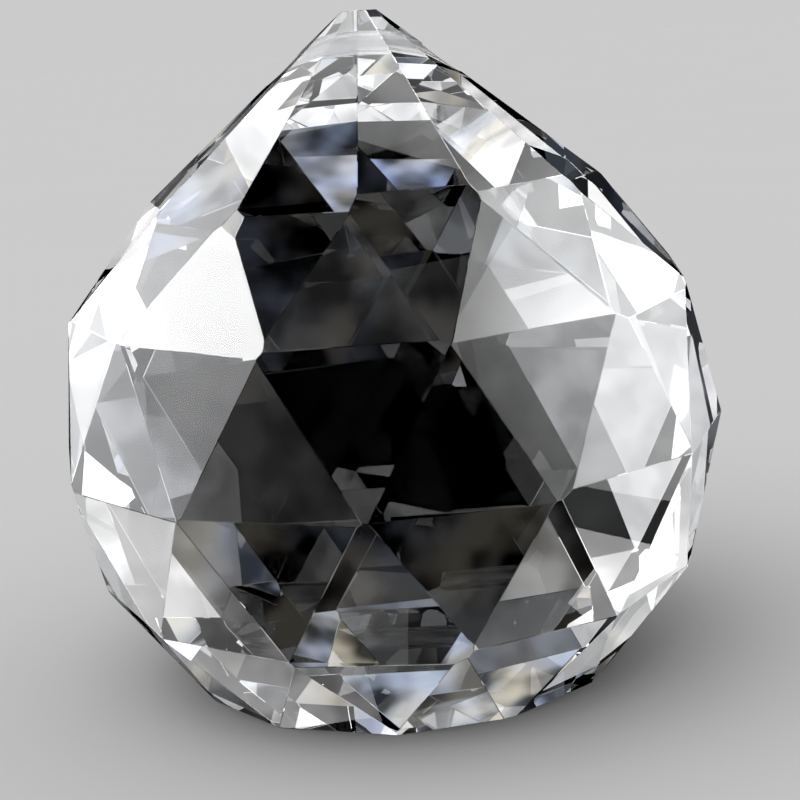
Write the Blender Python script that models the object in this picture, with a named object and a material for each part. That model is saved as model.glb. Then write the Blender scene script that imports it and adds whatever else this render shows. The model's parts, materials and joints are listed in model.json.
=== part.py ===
# Crystal suncatcher: one solid piece of clear cut crystal, a faceted ball that runs up into a
# twelve-sided cone with a drilled tip. It stands on its flat base, on the plane z = 0, with its axis
# on Z. The hanging hole runs along X. One corner of the cone's foot points to -Y, the front.

import math

import bmesh
import bpy
from mathutils import Matrix

OBJECT_NAME = "crystal_suncatcher"
STONE_NAME = "cut_crystal_ball"

# Driving sizes, in metres and degrees
BALL_DIAMETER = 0.040
FACETS_ROUND = 12
BASE_LATITUDE = -49.2
LOWER_ROW_LATITUDE = -26.7
MIDDLE_ROW_LATITUDE = -2.6
UPPER_ROW_LATITUDE = 23.1
CONE_FOOT_LATITUDE = 46.1
CONE_FOOT_CUT_DEPTH = 0.0007
CONE_SLOPE = 39.8
TIP_DIAMETER = 0.0022
HOLE_DIAMETER = 0.0018
HOLE_BELOW_TIP = 0.0030

# Fineness of the round hole, how far its cutter runs past the stone, and the largest angle, in
# degrees, between triangles that belong to one flat facet
HOLE_SIDES = 48
CUTTER_OVERRUN = 0.002
FLAT_FACET_ANGLE = 0.05

# Crystal glass
CRYSTAL_COLOUR = (0.97, 0.98, 0.98, 1.0)
CRYSTAL_ROUGHNESS = 0.02
CRYSTAL_IOR = 1.52

ballRadius = BALL_DIAMETER / 2
baseDepth = -ballRadius * math.sin(math.radians(BASE_LATITUDE))
halfStep = math.pi / FACETS_ROUND


def ballRow(latitude, turned, cutDepth=0.0):
    """A row of corners on the ball, or cutDepth under its surface: radius, height and turn."""
    reach = ballRadius - cutDepth
    angle = math.radians(latitude)
    return reach * math.cos(angle), baseDepth + reach * math.sin(angle), halfStep if turned else 0.0


def cornerRows():
    """All rows of corners from the base up. Neighbouring rows on the ball are half a step apart."""
    coneFoot = ballRow(CONE_FOOT_LATITUDE, False, CONE_FOOT_CUT_DEPTH)
    coneHeight = (coneFoot[0] - TIP_DIAMETER / 2) * math.tan(math.radians(CONE_SLOPE))
    tip = (TIP_DIAMETER / 2, coneFoot[1] + coneHeight, 0.0)
    return [
        ballRow(BASE_LATITUDE, False),
        ballRow(LOWER_ROW_LATITUDE, True),
        ballRow(MIDDLE_ROW_LATITUDE, False),
        ballRow(UPPER_ROW_LATITUDE, True),
        coneFoot,
        tip,
    ]


def makeCollection(name):
    collection = bpy.data.collections.new(name)
    bpy.context.scene.collection.children.link(collection)
    return collection


def crystalMaterial():
    material = bpy.data.materials.new("clear crystal")
    material.use_nodes = True
    shader = material.node_tree.nodes["Principled BSDF"]
    shader.inputs["Base Color"].default_value = CRYSTAL_COLOUR
    shader.inputs["Roughness"].default_value = CRYSTAL_ROUGHNESS
    shader.inputs["Metallic"].default_value = 0.0
    shader.inputs["IOR"].default_value = CRYSTAL_IOR
    shader.inputs["Transmission Weight"].default_value = 1.0
    return material


def cutStone(rows, collection):
    """The stone before drilling: the smallest convex body around its rows of corners."""
    work = bmesh.new()
    for radius, height, turn in rows:
        place = Matrix.Translation((0, 0, height)) @ Matrix.Rotation(turn - math.pi / 2, 4, "Z")
        bmesh.ops.create_circle(work, segments=FACETS_ROUND, radius=radius, matrix=place)
    bmesh.ops.convex_hull(work, input=work.verts)
    bmesh.ops.dissolve_limit(
        work, angle_limit=math.radians(FLAT_FACET_ANGLE), verts=work.verts, edges=work.edges
    )
    bmesh.ops.recalc_face_normals(work, faces=work.faces)
    mesh = bpy.data.meshes.new(STONE_NAME)
    work.to_mesh(mesh)
    work.free()
    stone = bpy.data.objects.new(STONE_NAME, mesh)
    collection.objects.link(stone)
    return stone


def drillHole(stone, rows, collection):
    """Cuts the hanging hole through two opposite corners of the cone, just below the tip."""
    coneFootRadius = rows[-2][0]
    tipHeight = rows[-1][1]
    bpy.ops.mesh.primitive_cylinder_add(
        vertices=HOLE_SIDES,
        radius=HOLE_DIAMETER / 2,
        depth=2 * (coneFootRadius + CUTTER_OVERRUN),
        location=(0, 0, tipHeight - HOLE_BELOW_TIP),
        rotation=(0, math.pi / 2, 0),
    )
    cutter = bpy.context.active_object
    cutter.name = "hanging_hole_cutter"
    for owner in list(cutter.users_collection):
        owner.objects.unlink(cutter)
    collection.objects.link(cutter)
    cutter.hide_render = True
    cutter.display_type = "WIRE"
    drill = stone.modifiers.new("hanging hole", "BOOLEAN")
    drill.operation = "DIFFERENCE"
    drill.solver = "EXACT"
    drill.object = cutter
    return cutter


for leftover in list(bpy.data.objects):
    bpy.data.objects.remove(leftover, do_unlink=True)

pieces = makeCollection(OBJECT_NAME)
cutters = makeCollection(OBJECT_NAME + "_cutters")
stoneRows = cornerRows()
crystalBall = cutStone(stoneRows, pieces)
crystalBall.data.materials.append(crystalMaterial())
drillHole(crystalBall, stoneRows, cutters)
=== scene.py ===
import json
import math
import random

import bpy
from mathutils import Matrix, Vector

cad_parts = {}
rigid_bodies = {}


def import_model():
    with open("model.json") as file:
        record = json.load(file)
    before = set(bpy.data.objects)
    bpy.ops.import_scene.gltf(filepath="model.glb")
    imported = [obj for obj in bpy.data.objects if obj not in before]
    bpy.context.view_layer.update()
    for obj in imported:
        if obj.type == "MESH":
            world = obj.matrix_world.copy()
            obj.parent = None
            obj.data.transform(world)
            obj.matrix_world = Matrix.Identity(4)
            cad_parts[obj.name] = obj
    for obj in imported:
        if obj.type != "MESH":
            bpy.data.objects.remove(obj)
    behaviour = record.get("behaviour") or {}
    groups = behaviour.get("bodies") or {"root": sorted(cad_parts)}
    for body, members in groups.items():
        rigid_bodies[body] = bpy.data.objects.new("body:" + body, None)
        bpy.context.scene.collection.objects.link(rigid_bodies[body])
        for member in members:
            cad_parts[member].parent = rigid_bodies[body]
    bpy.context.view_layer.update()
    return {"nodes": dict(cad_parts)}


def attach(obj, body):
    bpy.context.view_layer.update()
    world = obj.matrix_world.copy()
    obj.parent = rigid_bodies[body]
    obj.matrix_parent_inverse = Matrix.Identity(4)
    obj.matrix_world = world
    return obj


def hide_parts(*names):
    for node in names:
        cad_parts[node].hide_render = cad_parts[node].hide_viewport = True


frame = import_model()
print("frame loaded, solids", sorted(frame["nodes"]))

mm = 0.001


# small helpers

def linearColour(hexText):
    # an sRGB hex colour as the linear values that a socket takes
    parts = [int(hexText[i:i + 2], 16) / 255 for i in (1, 3, 5)]
    return [c / 12.92 if c <= 0.04045 else ((c + 0.055) / 1.055) ** 2.4 for c in parts] + [1.0]


def addNode(tree, kind, place, links=None, **settings):
    # one node: its properties and socket values by name, with _ for a space, and what feeds its sockets
    node = tree.nodes.new(kind)
    node.location = place
    for key, value in settings.items():
        if hasattr(node, key):
            setattr(node, key, value)
        else:
            node.inputs[key.replace("_", " ")].default_value = value
    for socket, source in (links or {}).items():
        tree.links.new(source, node.inputs[socket])
    return node


def newMaterial(name):
    material = bpy.data.materials.new(name)
    material.use_nodes = True
    material.node_tree.nodes.clear()
    return material, material.node_tree


def deselectAll():
    if bpy.context.object and bpy.context.object.mode != "OBJECT":
        bpy.ops.object.mode_set(mode="OBJECT")
    for thing in bpy.context.view_layer.objects:
        thing.select_set(False)
    bpy.context.view_layer.objects.active = None


def makeActive(thing):
    deselectAll()
    thing.select_set(True)
    bpy.context.view_layer.objects.active = thing


def triangleCount(thing):
    return sum(len(face.vertices) - 2 for face in thing.data.polygons)


# camera: where the photograph was taken from, 105 mm from the middle of the ball

cameraSetup = {
    "aim": (0, 0, 15.14),        # mm, the middle of the ball
    "aimPixel": (389.6, 416.0),  # where that point lands in the 800 pixel frame
    "distance": 105.1,           # mm
    "azimuth": 4.53,             # degrees from the front towards +X
    "elevation": 12.2,
    "roll": -4.49,               # the tip leans to the left in the frame
    "lens": 77.7,                # mm
    "sensor": 36,                # mm across
    "frame": 800,                # pixels across
    "nearest": 0.005,            # m, what is drawn starts here
    "farthest": 20,              # m, and ends here
}


def buildCamera():
    setup = cameraSetup
    data = bpy.data.cameras.new("photoCamera")
    data.lens = setup["lens"]
    data.sensor_width = setup["sensor"]
    data.clip_start = setup["nearest"]
    data.clip_end = setup["farthest"]
    camera = bpy.data.objects.new("photoCamera", data)
    bpy.context.scene.collection.objects.link(camera)
    turn = (Matrix.Rotation(math.radians(setup["azimuth"]), 3, "Z")
            @ Matrix.Rotation(math.radians(90 - setup["elevation"]), 3, "X")
            @ Matrix.Rotation(math.radians(setup["roll"]), 3, "Z"))
    perPixel = setup["sensor"] / setup["frame"] / setup["lens"] * setup["distance"] * mm
    aside, below = (pixel - setup["frame"] / 2 for pixel in setup["aimPixel"])
    right, up, back = (turn @ Vector(axis) for axis in ((1, 0, 0), (0, 1, 0), (0, 0, 1)))
    place = (Vector(setup["aim"]) * mm + back * setup["distance"] * mm
             - right * aside * perPixel + up * below * perPixel)
    camera.matrix_world = Matrix.Translation(place) @ turn.to_4x4()
    bpy.context.scene.camera = camera


buildCamera()
print("camera placed")


# materials

glass = {
    "ior": 1.54,            # lead-free crystal
    "clear": "#ffffff",     # no colour of its own
    "cream": "#f6f3e2",     # the faint warm tone of a chip
    "waveLength": 9,        # mm, the long shallow waves that a wheel leaves in a facet
    "waveHeight": 0.02,     # mm, before the strength takes it to a few thousandths
    "waveStrength": 0.35,
    "boreGrit": 0.12,       # mm, grit of the diamond drill
    "boreRoughness": 0.35,
    "chipGrit": 0.3,        # mm, the fine steps of a shell-like break
    "chipRoughness": 0.30,
    "gritHeight": 0.02,     # mm
    "gritStrength": 0.6,
}


def polishedCrystalMaterial():
    # Clear lead-free cut crystal, ground flat on a wheel and polished bright with cerium.
    # The eye sees sharp glossy facets, bent pictures of the lights, and no colour of its own.
    material, tree = newMaterial("polishedCutCrystal")
    place = addNode(tree, "ShaderNodeTexCoord", (-1000, 0)).outputs["Object"]
    wave = addNode(tree, "ShaderNodeTexNoise", (-800, 100), {"Vector": place},
                   Scale=1 / (glass["waveLength"] * mm), Detail=1.0, Roughness=0.4)
    waveBump = addNode(tree, "ShaderNodeBump", (-560, 100), {"Height": wave.outputs["Fac"]},
                       Strength=glass["waveStrength"], Distance=glass["waveHeight"] * mm)
    bsdf = addNode(tree, "ShaderNodeBsdfPrincipled", (-300, 0), {"Normal": waveBump.outputs["Normal"]})
    bsdf.inputs["Base Color"].default_value = linearColour(glass["clear"])
    bsdf.inputs["Roughness"].default_value = 0.0
    bsdf.inputs["IOR"].default_value = glass["ior"]
    bsdf.inputs["Transmission Weight"].default_value = 1.0
    addNode(tree, "ShaderNodeOutputMaterial", (0, 0), {"Surface": bsdf.outputs["BSDF"]})
    return material


def frostedCrystalMaterial(name, colour, gritSize, roughness):
    # Bare crystal that no polish has touched, so it scatters the light that goes through it.
    material, tree = newMaterial(name)
    place = addNode(tree, "ShaderNodeTexCoord", (-1000, 0)).outputs["Object"]
    grit = addNode(tree, "ShaderNodeTexNoise", (-800, 100), {"Vector": place},
                   Scale=1 / (gritSize * mm), Detail=3.0, Roughness=0.6)
    gritBump = addNode(tree, "ShaderNodeBump", (-560, 100), {"Height": grit.outputs["Fac"]},
                       Strength=glass["gritStrength"], Distance=glass["gritHeight"] * mm)
    bsdf = addNode(tree, "ShaderNodeBsdfPrincipled", (-300, 0), {"Normal": gritBump.outputs["Normal"]})
    bsdf.inputs["Base Color"].default_value = linearColour(colour)
    bsdf.inputs["Roughness"].default_value = roughness
    bsdf.inputs["IOR"].default_value = glass["ior"]
    bsdf.inputs["Transmission Weight"].default_value = 1.0
    addNode(tree, "ShaderNodeOutputMaterial", (0, 0), {"Surface": bsdf.outputs["BSDF"]})
    return material


polishedCrystal = polishedCrystalMaterial()
# The drilled hole's wall: left as the diamond drill ground it, so it is frosted
# and the eye sees a soft pale tube through the clear tip.
groundBore = frostedCrystalMaterial("groundCrystalBore", glass["clear"], glass["boreGrit"],
                                    glass["boreRoughness"])
# Where a flake has broken off a corner: a dull shell-like break in the glass,
# which the eye sees as a small pale fleck.
chippedCrystal = frostedCrystalMaterial("chippedCrystal", glass["cream"], glass["chipGrit"],
                                        glass["chipRoughness"])
print("materials made")


# the crystal, cut facet by facet from a round blank, as the cutter's wheel does it

crystal = {
    "facetsRound": 12,
    # rows of corners from the tip down: radius in mm, height in mm, turned by this many facets
    "tip": (1.10, 39.28, 0.0),
    "coneFoot": (13.38, 29.05, 0.0),
    "upperRow": (18.40, 22.99, 0.5),
    "middleRow": (19.98, 14.23, 0.0),
    "lowerRow": (17.87, 6.15, 0.5),
    "baseRim": (13.07, 0.00, 0.0),
    "blankRadius": 24.0,    # mm
    "blankHeight": 46.0,
    "blankSides": 32,
    "blankBelow": 2.0,      # mm of the blank that is ground off under the base
    "cutTolerance": 1e-7,   # m, corners this close to a wheel's plane count as on it
    # a wheel never meets every corner alike: the usual error of a facet, which the seed spreads
    "turnError": 0.22,      # degrees sideways
    "tiltError": 0.28,      # degrees up or down
    "depthError": 0.035,    # mm
    "errorSeed": 12,
    "cleanMeet": 0.09,      # mm, corners that meet closer than this are one corner
    "arrisWidth": 0.05,     # mm, the polish takes this much off each sharp edge
    "arrisMeet": 0.002,     # mm, ends of arrises closer than this are one corner
}

# facets whose corners can be seen are set one by one: turn and tilt in degrees, depth in mm
knownErrors = {
    ("cone", -2): (0.17, -0.11, -0.07),
    ("cone", -1): (0.02, -0.07, -0.02),
    ("cone", 0): (0.09, 0.18, 0.06),
    ("cone", 1): (-0.02, -0.01, 0.02),
    ("shoulderDown", -2): (-0.16, -0.42, 0.00),
    ("shoulderDown", -1): (0.07, -0.12, -0.04),
    ("shoulderDown", 0): (0.03, -0.44, -0.10),
    ("shoulderDown", 1): (0.13, 0.26, -0.05),
    ("shoulderUp", -1): (0.50, -0.48, -0.07),
    ("shoulderUp", 0): (-0.16, -0.02, -0.05),
    ("shoulderUp", 1): (0.38, -0.25, -0.10),
    ("shoulderUp", 2): (-0.13, -0.29, 0.03),
    ("upperDown", -2): (-0.32, -0.21, 0.02),
    ("upperDown", 0): (0.74, -0.25, -0.03),
    ("upperDown", 1): (0.91, -1.19, 0.19),
    ("upperUp", -2): (-0.06, 0.14, -0.01),
    ("upperUp", -1): (0.31, -0.65, 0.06),
    ("upperUp", 1): (0.04, 0.08, 0.06),
    ("lowerDown", -2): (-0.10, -0.04, 0.03),
    ("lowerDown", -1): (-0.02, -0.30, 0.03),
    ("lowerDown", 0): (-0.31, -0.30, 0.05),
    ("lowerDown", 1): (-0.37, -0.05, 0.00),
    ("lowerUp", -1): (-0.18, 0.02, 0.05),
    ("lowerUp", 1): (0.08, 0.20, 0.01),
}

# bands of facets between two rows; in each, one triangle stands on its side and one on its point
bands = (
    ("shoulder", "coneFoot", "upperRow"),
    ("upper", "upperRow", "middleRow"),
    ("lower", "middleRow", "lowerRow"),
    ("base", "lowerRow", "baseRim"),
)


def corner(row, index):
    # corner number index of a row, counted from the front towards +X
    radius, height, turned = crystal[row]
    angle = (index + turned) * 2 * math.pi / crystal["facetsRound"]
    return Vector((radius * math.sin(angle), -radius * math.cos(angle), height))


def facetCorners():
    # every facet's name, number and the three corners that its plane goes through
    facets = []
    halfRound = crystal["facetsRound"] // 2
    for index in range(1 - halfRound, 1 + halfRound):
        facets.append(("cone", index, (corner("coneFoot", index), corner("coneFoot", index + 1),
                                       corner("tip", index))))
        for band, top, bottom in bands:
            ahead = 1 if crystal[top][2] else 0  # a turned row starts half a facet further round
            facets.append((band + "Up", index, (corner(top, index), corner(bottom, index + ahead - 1),
                                                corner(bottom, index + ahead))))
            facets.append((band + "Down", index, (corner(top, index), corner(top, index + 1),
                                                  corner(bottom, index + ahead))))
    return facets


def facetPlane(corners, errors):
    # the wheel's plane: a point on it and the way it faces, with the cut's small errors
    turn, tilt, depth = errors
    facing = (corners[1] - corners[0]).cross(corners[2] - corners[0]).normalized()
    middle = sum(corners, Vector()) / 3
    if facing.dot(middle - Vector(cameraSetup["aim"])) < 0:
        facing.negate()
    sideways = Vector((0, 0, 1)).cross(facing).normalized()
    upwards = facing.cross(sideways)
    facing = (facing + sideways * math.radians(turn) + upwards * math.radians(tilt)).normalized()
    return (middle + facing * depth) * mm, facing


def grind(point, facing):
    # one pass of the wheel: all that stands proud of the plane goes, and the cut is closed
    bpy.ops.mesh.select_all(action="SELECT")
    bpy.ops.mesh.bisect(plane_co=point, plane_no=facing, use_fill=True, clear_outer=True,
                        clear_inner=False, threshold=crystal["cutTolerance"])


def cutCrystal():
    setup = crystal
    deselectAll()
    middle = setup["blankHeight"] / 2 - setup["blankBelow"]
    bpy.ops.mesh.primitive_cylinder_add(vertices=setup["blankSides"], radius=setup["blankRadius"] * mm,
                                        depth=setup["blankHeight"] * mm, end_fill_type="NGON",
                                        location=(0, 0, middle * mm))
    stone = bpy.context.object
    stone.name = stone.data.name = "cut_crystal"
    bpy.ops.object.transform_apply(location=True, rotation=True, scale=True)
    bpy.ops.object.mode_set(mode="EDIT")
    chance = random.Random(setup["errorSeed"])
    for name, index, corners in facetCorners():
        usual = (chance.gauss(0, setup["turnError"]), chance.gauss(0, setup["tiltError"]),
                 chance.gauss(0, setup["depthError"]))
        grind(*facetPlane(corners, knownErrors.get((name, index), usual)))
    grind(Vector((0, 0, setup["tip"][1])) * mm, Vector((0, 0, 1)))
    grind(Vector((0, 0, 0)), Vector((0, 0, -1)))
    bpy.ops.mesh.select_all(action="SELECT")
    bpy.ops.mesh.remove_doubles(threshold=setup["cleanMeet"] * mm)
    bpy.ops.mesh.select_all(action="SELECT")
    bpy.ops.mesh.normals_make_consistent(inside=False)
    bpy.ops.object.mode_set(mode="OBJECT")
    return stone


stone = cutCrystal()
print("facets cut,", len(stone.data.polygons), "faces,", len(stone.data.vertices), "corners")


# chips: the crystal's sharp corners lose a flake here and there

chips = (
    # corner (row and number), depth in mm, and how far the break leans sideways and up, in degrees
    {"corner": ("coneFoot", -1), "depth": 0.12, "turn": 7, "tilt": -4.5},
)


def chipCorners():
    bpy.ops.object.mode_set(mode="EDIT")
    for chip in chips:
        place = corner(*chip["corner"])
        out = (place - Vector(cameraSetup["aim"])).normalized()
        out = Matrix.Rotation(math.radians(chip["turn"]), 3, "Z") @ out
        out = (out + Vector((0, 0, 1)) * math.radians(chip["tilt"])).normalized()
        grind((place - out * chip["depth"]) * mm, out)
        # the new face is still selected and gets the second slot
        stone.active_material_index = 1
        bpy.ops.object.material_slot_assign()
    bpy.ops.object.mode_set(mode="OBJECT")


def softenArrises():
    # every edge gets the hair-thin flat that polishing leaves, which draws the facets' outlines
    bpy.ops.object.mode_set(mode="EDIT")
    bpy.ops.mesh.select_all(action="SELECT")
    bpy.ops.mesh.bevel(offset=crystal["arrisWidth"] * mm, offset_type="WIDTH", segments=1,
                       affect="EDGES", clamp_overlap=False)
    bpy.ops.mesh.select_all(action="SELECT")
    bpy.ops.mesh.remove_doubles(threshold=crystal["arrisMeet"] * mm)
    bpy.ops.mesh.select_all(action="SELECT")
    bpy.ops.mesh.normals_make_consistent(inside=False)
    bpy.ops.object.mode_set(mode="OBJECT")


makeActive(stone)
stone.data.materials.append(polishedCrystal)
stone.data.materials.append(chippedCrystal)
chipCorners()
softenArrises()
print("arrises softened,", len(stone.data.polygons), "faces")


# the hanging hole, drilled straight across below the tip

hole = {
    "radius": 0.90,     # mm
    "height": 36.28,    # mm, the axis runs along X
    "sides": 96,
    "length": 14.0,     # mm, past both sides of the cone
}


def drillHole():
    deselectAll()
    bpy.ops.mesh.primitive_cylinder_add(vertices=hole["sides"], radius=hole["radius"] * mm,
                                        depth=hole["length"] * mm, location=(0, 0, hole["height"] * mm),
                                        rotation=(0, math.radians(90), 0))
    drill = bpy.context.object
    bpy.ops.object.transform_apply(location=True, rotation=True, scale=True)
    drill.data.materials.append(groundBore)
    makeActive(stone)
    cut = stone.modifiers.new("drilledHole", "BOOLEAN")
    cut.operation = "DIFFERENCE"
    cut.solver = "EXACT"
    cut.object = drill
    cut.material_mode = "TRANSFER"
    bpy.ops.object.modifier_apply(modifier=cut.name)
    bpy.data.objects.remove(drill, do_unlink=True)


drillHole()
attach(stone, "root")
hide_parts("cut_crystal_ball")
print("hole drilled,", len(stone.data.polygons), "faces,", triangleCount(stone), "triangles")


# floor and light

studio = {
    "floorSize": 6000,          # mm
    "floorColour": "#dbdbdb",   # matt pale grey board
    "floorShade": "#d9d9d9",    # and where it is a shade darker
    "floorMottle": 60,          # mm from shade to shade
    "airBrightness": 0.60,      # what the pale room gives the floor, 1 is white
    "sunBrightness": 0.95,      # a very soft lamp from high on the left, in the same measure
    "sunAngle": 70,             # degrees wide, so the shadow stays soft
    "sunTurn": (20, -25, 0),    # degrees
    "boxDistance": 1500,        # mm from the stone to every softbox
    "brightestThrough": 1.3,    # the most that a softbox shows through the stone, 1 is white
    "throughDistance": 1545,    # mm from the stone to the dimmed twin that is seen through it
    "fadeEnd": 0.6,             # share of a softbox's width where its light has fallen to the edge's
    "blotchSize": 2.6,          # degrees, how coarse the mottling of a reflector is
    "blotchRange": (0.40, 0.64),    # the part of the noise that goes from dark to bright
    "fireSize": 4.3333,         # degrees, how coarse its colours are
    "fireRange": (0.4, 0.6),    # the part of the noise that goes from cool to warm
    "fireFrom": 0.5,            # a reflector more mottled than this is coloured too
    "coolFire": "#d2e0ff",      # the two colours that its light wanders between
    "warmFire": "#fff6e4",
}

# softboxes and reflectors that only the stone sees: azimuth from the front towards +X and elevation of
# the middle, half width and half height in degrees, brightness where 1 is white, share of it at the
# edge, how mottled the reflector is, and its tint
softboxes = (
    ("leftBox", -103, 20.5, 42, 30, 7.6, 0.3, 0.06, "#fcfdff"),
    ("leftCore", -82, 43.6, 18, 16.6, 13.2, 0.9, 0.0, "#ffffff"),
    ("leftBounce", -106, -29.3, 28.3, 11.3, 4.2, 1.0, 0.1, "#ffffff"),
    ("leftDeep", -105, -60, 15, 24, 1.4, 1.0, 0.4, "#ffffff"),
    ("leftFront", -40, 10, 16, 42, 0.39, 1.0, 0.5, "#fbfcff"),
    ("rightBox", 100, 22.6, 42, 39.7, 13.0, 0.0, 0.1, "#fdfeff"),
    ("rightCore", 89.2, 44, 16.7, 7, 14.0, 0.1, 0.0, "#ffffff"),
    ("rightBounce", 88.6, -20, 33.8, 8.8, 6.0, 0.3, 0.1, "#ffffff"),
    ("rightDeep", 95.7, -40, 12.9, 10, 4.8, 0.9, 0.2, "#ffffff"),
    ("rightFront", 45, 0.4, 14, 29.7, 1.34, 1.0, 0.3, "#fcfcff"),
    ("rightLow", 56, -52, 16.8, 17.2, 0.34, 1.0, 0.8, "#fcfffc"),
    ("frontStrip", -29, 35.4, 39, 5.4, 1.15, 1.0, 0.5, "#ffffff"),
    ("frontTop", 3, 50, 18, 8, 0.98, 0.6, 0.5, "#fbfdff"),
    ("frontHigh", 20, 66, 22, 8, 0.45, 0.8, 0.5, "#fbfdff"),
    ("frontLeftLow", -24, -17, 6, 5, 1.05, 0.4, 0.5, "#ffffff"),
    ("frontRightLow", 14, -22, 3.8, 3.6, 0.85, 0.7, 0.2, "#fdfeff"),
    ("frontLow", 1, -35, 42, 20.2, 0.34, 1.0, 1.0, "#fffffa"),
    ("frontDeep", 10, -67, 12.7, 13.7, 0.80, 0.4, 0.8, "#ffffff"),
    ("backTop", 174, 70, 39, 12, 12.0, 0.1, 0.2, "#ffffff"),
    ("backHigh", -177, 38, 42, 18, 0.50, 0.5, 0.9, "#fffffa"),
    ("backHorizon", -175.3, 0, 3.6, 3.2, 0.22, 0.5, 1.0, "#ffffff"),
    ("backDim", 176, -30, 16, 13, 0.022, 0.5, 1.0, "#ffffff"),
    ("backDeep", 143, -69, 24, 23, 0.72, 0.2, 0.9, "#f4f9ff"),
    ("backBlue", -172, -56, 12, 4.5, 0.60, 0.7, 0.9, "#dce6ff"),
    ("backLeftDeep", -143.5, -32.8, 9.3, 5.5, 0.30, 0.3, 0.5, "#f2f8ff"),
    ("backLeftLow", -147, -15, 11, 9, 0.23, 0.9, 0.3, "#f7faff"),
    ("backLeftStep", -154, -26.5, 3, 3, 0.35, 0.8, 0.2, "#fbfcff"),
    ("backLeftMid", -166, 15, 9, 3.5, 0.10, 0.7, 0.4, "#f7faff"),
    ("backLeftEdge", -152, 12, 4, 4, 0.70, 0.5, 0.3, "#ffffff"),
    ("backLeftGlint", -158.6, 2.2, 1.9, 1.7, 1.10, 0.8, 0.0, "#ffffff"),
    ("backLeftSpot", -162, 3, 5, 4.5, 0.22, 0.3, 0.5, "#ffffff"),
    ("backRightSide", 140, -29, 6.7, 15.3, 2.9, 0.5, 0.2, "#ffffff"),
    ("backRightCore", 140.6, -9.2, 4.6, 5.4, 9.0, 0.3, 0.0, "#ffffff"),
    ("backRightLow", 157, -25.6, 3.0, 5.6, 2.4, 0.6, 0.2, "#ffffff"),
    ("backRightGlow", 155, -13, 7, 5.5, 0.24, 0.7, 0.5, "#f3f5ff"),
    ("backRightEdge", 145, 10, 4.5, 8, 1.2, 0.4, 0.3, "#ffffff"),
    ("backRightSpot", 160, 8, 5, 7, 0.15, 0.7, 0.6, "#f8fbff"),
    ("leftWall", -104, -4, 41, 30, 0.50, 0.5, 0.3, "#fbfdff"),
    ("rightWall", 100, -8, 42, 34, 0.45, 0.7, 0.3, "#fbfdff"),
)


def buildFloor():
    deselectAll()
    bpy.ops.mesh.primitive_plane_add(size=studio["floorSize"] * mm, location=(0, 0, 0))
    floor = bpy.context.object
    floor.name = floor.data.name = "paleFloor"
    # matt painted board: it scatters light evenly and has no gloss
    material, tree = newMaterial("mattPaleBoard")
    place = addNode(tree, "ShaderNodeTexCoord", (-900, 0)).outputs["Object"]
    mottle = addNode(tree, "ShaderNodeTexNoise", (-700, 0), {"Vector": place},
                     Scale=1 / (studio["floorMottle"] * mm), Detail=2.0)
    tint = addNode(tree, "ShaderNodeMixRGB", (-500, 0), {"Fac": mottle.outputs["Fac"]},
                   Color1=linearColour(studio["floorShade"]),
                   Color2=linearColour(studio["floorColour"]))
    board = addNode(tree, "ShaderNodeBsdfDiffuse", (-300, 0), {"Color": tint.outputs["Color"]})
    addNode(tree, "ShaderNodeOutputMaterial", (0, 0), {"Surface": board.outputs["BSDF"]})
    floor.data.materials.append(material)
    # the board isn't seen in or through the stone, so the facets that no softbox lights stay dark
    floor.visible_transmission = False
    floor.visible_glossy = False


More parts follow.
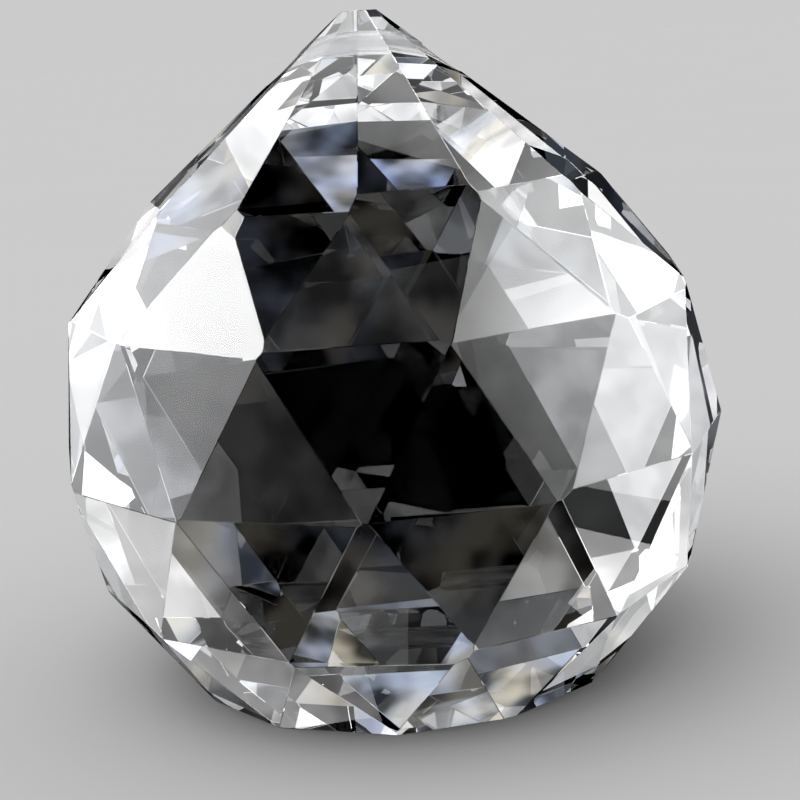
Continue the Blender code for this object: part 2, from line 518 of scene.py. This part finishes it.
def buildSoftbox(name, azimuth, elevation, halfWide, halfHigh, brightness, edge, mottled, tint,
                 distance):
    # a rectangular area light that faces the stone, bright in its middle and fading to its edges
    distance *= mm
    data = bpy.data.lights.new(name, "AREA")
    data.shape = "RECTANGLE"
    data.size = 2 * distance * math.tan(math.radians(halfWide))
    data.size_y = 2 * distance * math.tan(math.radians(halfHigh))
    data.energy = brightness * math.pi * data.size * data.size_y
    data.color = linearColour(tint)[:3]
    data.use_nodes = True
    tree = data.node_tree
    tree.nodes.clear()
    across = addNode(tree, "ShaderNodeNewGeometry", (-1200, 0)).outputs["Parametric"]
    centred = addNode(tree, "ShaderNodeVectorMath", (-1000, 0), {0: across}, operation="SUBTRACT")
    centred.inputs[1].default_value = (0.5, 0.5, 0)
    away = addNode(tree, "ShaderNodeVectorMath", (-800, 0), {0: centred.outputs["Vector"]},
                   operation="LENGTH")
    fade = addNode(tree, "ShaderNodeMapRange", (-600, 0), {"Value": away.outputs["Value"]},
                   interpolation_type="SMOOTHSTEP", From_Min=0.0, From_Max=studio["fadeEnd"],
                   To_Min=1.0, To_Max=edge)
    power = fade.outputs["Result"]
    if mottled:
        degrees = addNode(tree, "ShaderNodeVectorMath", (-1000, -300), {0: across},
                          operation="MULTIPLY_ADD")
        degrees.inputs[1].default_value = (2 * halfWide, 2 * halfHigh, 1)
        degrees.inputs[2].default_value = (azimuth, elevation, 0)
        blotch = addNode(tree, "ShaderNodeTexNoise", (-800, -300), {"Vector": degrees.outputs["Vector"]},
                         Scale=1 / studio["blotchSize"], Detail=2.0)
        dark, bright = studio["blotchRange"]
        patch = addNode(tree, "ShaderNodeMapRange", (-600, -300), {"Value": blotch.outputs["Fac"]},
                        interpolation_type="SMOOTHSTEP", From_Min=dark, From_Max=bright,
                        To_Min=1 - mottled, To_Max=1 + mottled)
        power = addNode(tree, "ShaderNodeMath", (-400, 0), {0: power, 1: patch.outputs["Result"]},
                        operation="MULTIPLY").outputs["Value"]
    glow = addNode(tree, "ShaderNodeEmission", (-200, 0), {"Strength": power})
    if mottled > studio["fireFrom"]:
        # broken white light turns blue here and yellow there, the fire of cut crystal
        hue = addNode(tree, "ShaderNodeTexNoise", (-800, -500), {"Vector": degrees.outputs["Vector"]},
                      Scale=1 / studio["fireSize"], Detail=1.0)
        cool, warm = studio["fireRange"]
        spread = addNode(tree, "ShaderNodeMapRange", (-600, -500), {"Value": hue.outputs["Fac"]},
                         From_Min=cool, From_Max=warm)
        fire = addNode(tree, "ShaderNodeMixRGB", (-400, -500), {"Fac": spread.outputs["Result"]},
                       Color1=linearColour(studio["coolFire"]), Color2=linearColour(studio["warmFire"]))
        tree.links.new(fire.outputs["Color"], glow.inputs["Color"])
    addNode(tree, "ShaderNodeOutputLight", (0, 0), {"Surface": glow.outputs["Emission"]})
    box = bpy.data.objects.new(name, data)
    bpy.context.scene.collection.objects.link(box)
    turned, raised = math.radians(azimuth), math.radians(elevation)
    out = Vector((math.cos(raised) * math.sin(turned), -math.cos(raised) * math.cos(turned),
                  math.sin(raised)))
    box.location = Vector(cameraSetup["aim"]) * mm + out * distance
    box.rotation_euler = out.to_track_quat("Z", "Y").to_euler()
    box.visible_camera = False
    box.visible_diffuse = False
    return box


def buildRoomLight():
    # one very soft lamp and an even pale room, which light the floor alike everywhere
    data = bpy.data.lights.new("softLamp", "SUN")
    data.energy = studio["sunBrightness"]
    data.angle = math.radians(studio["sunAngle"])
    lamp = bpy.data.objects.new("softLamp", data)
    bpy.context.scene.collection.objects.link(lamp)
    lamp.rotation_euler = [math.radians(turn) for turn in studio["sunTurn"]]
    lamp.visible_glossy = False
    lamp.visible_transmission = False
    world = bpy.data.worlds.new("paleRoom")
    bpy.context.scene.world = world
    world.use_nodes = True
    air = world.node_tree.nodes["Background"]
    air.inputs["Color"].default_value = linearColour("#ffffff")
    air.inputs["Strength"].default_value = studio["airBrightness"]
    world.cycles_visibility.glossy = False
    world.cycles_visibility.transmission = False


buildFloor()
for name, azimuth, elevation, halfWide, halfHigh, brightness, edge, mottled, tint in softboxes:
    place = (azimuth, elevation, halfWide, halfHigh)
    box = buildSoftbox(name, *place, brightness, edge, mottled, tint, studio["boxDistance"])
    if brightness > studio["brightestThrough"]:
        # it shines on the facets in full and through the stone dimmed, so the sides don't burn out
        box.visible_transmission = False
        twin = buildSoftbox(name + "Through", *place, studio["brightestThrough"], edge, mottled, tint,
                            studio["throughDistance"])
        twin.visible_glossy = False
buildRoomLight()
scene = bpy.context.scene
scene.view_settings.view_transform = "Standard"
scene.cycles.use_denoising = True
scene.cycles.caustics_reflective = False
scene.cycles.caustics_refractive = False
print("floor and", len(softboxes), "softboxes placed")
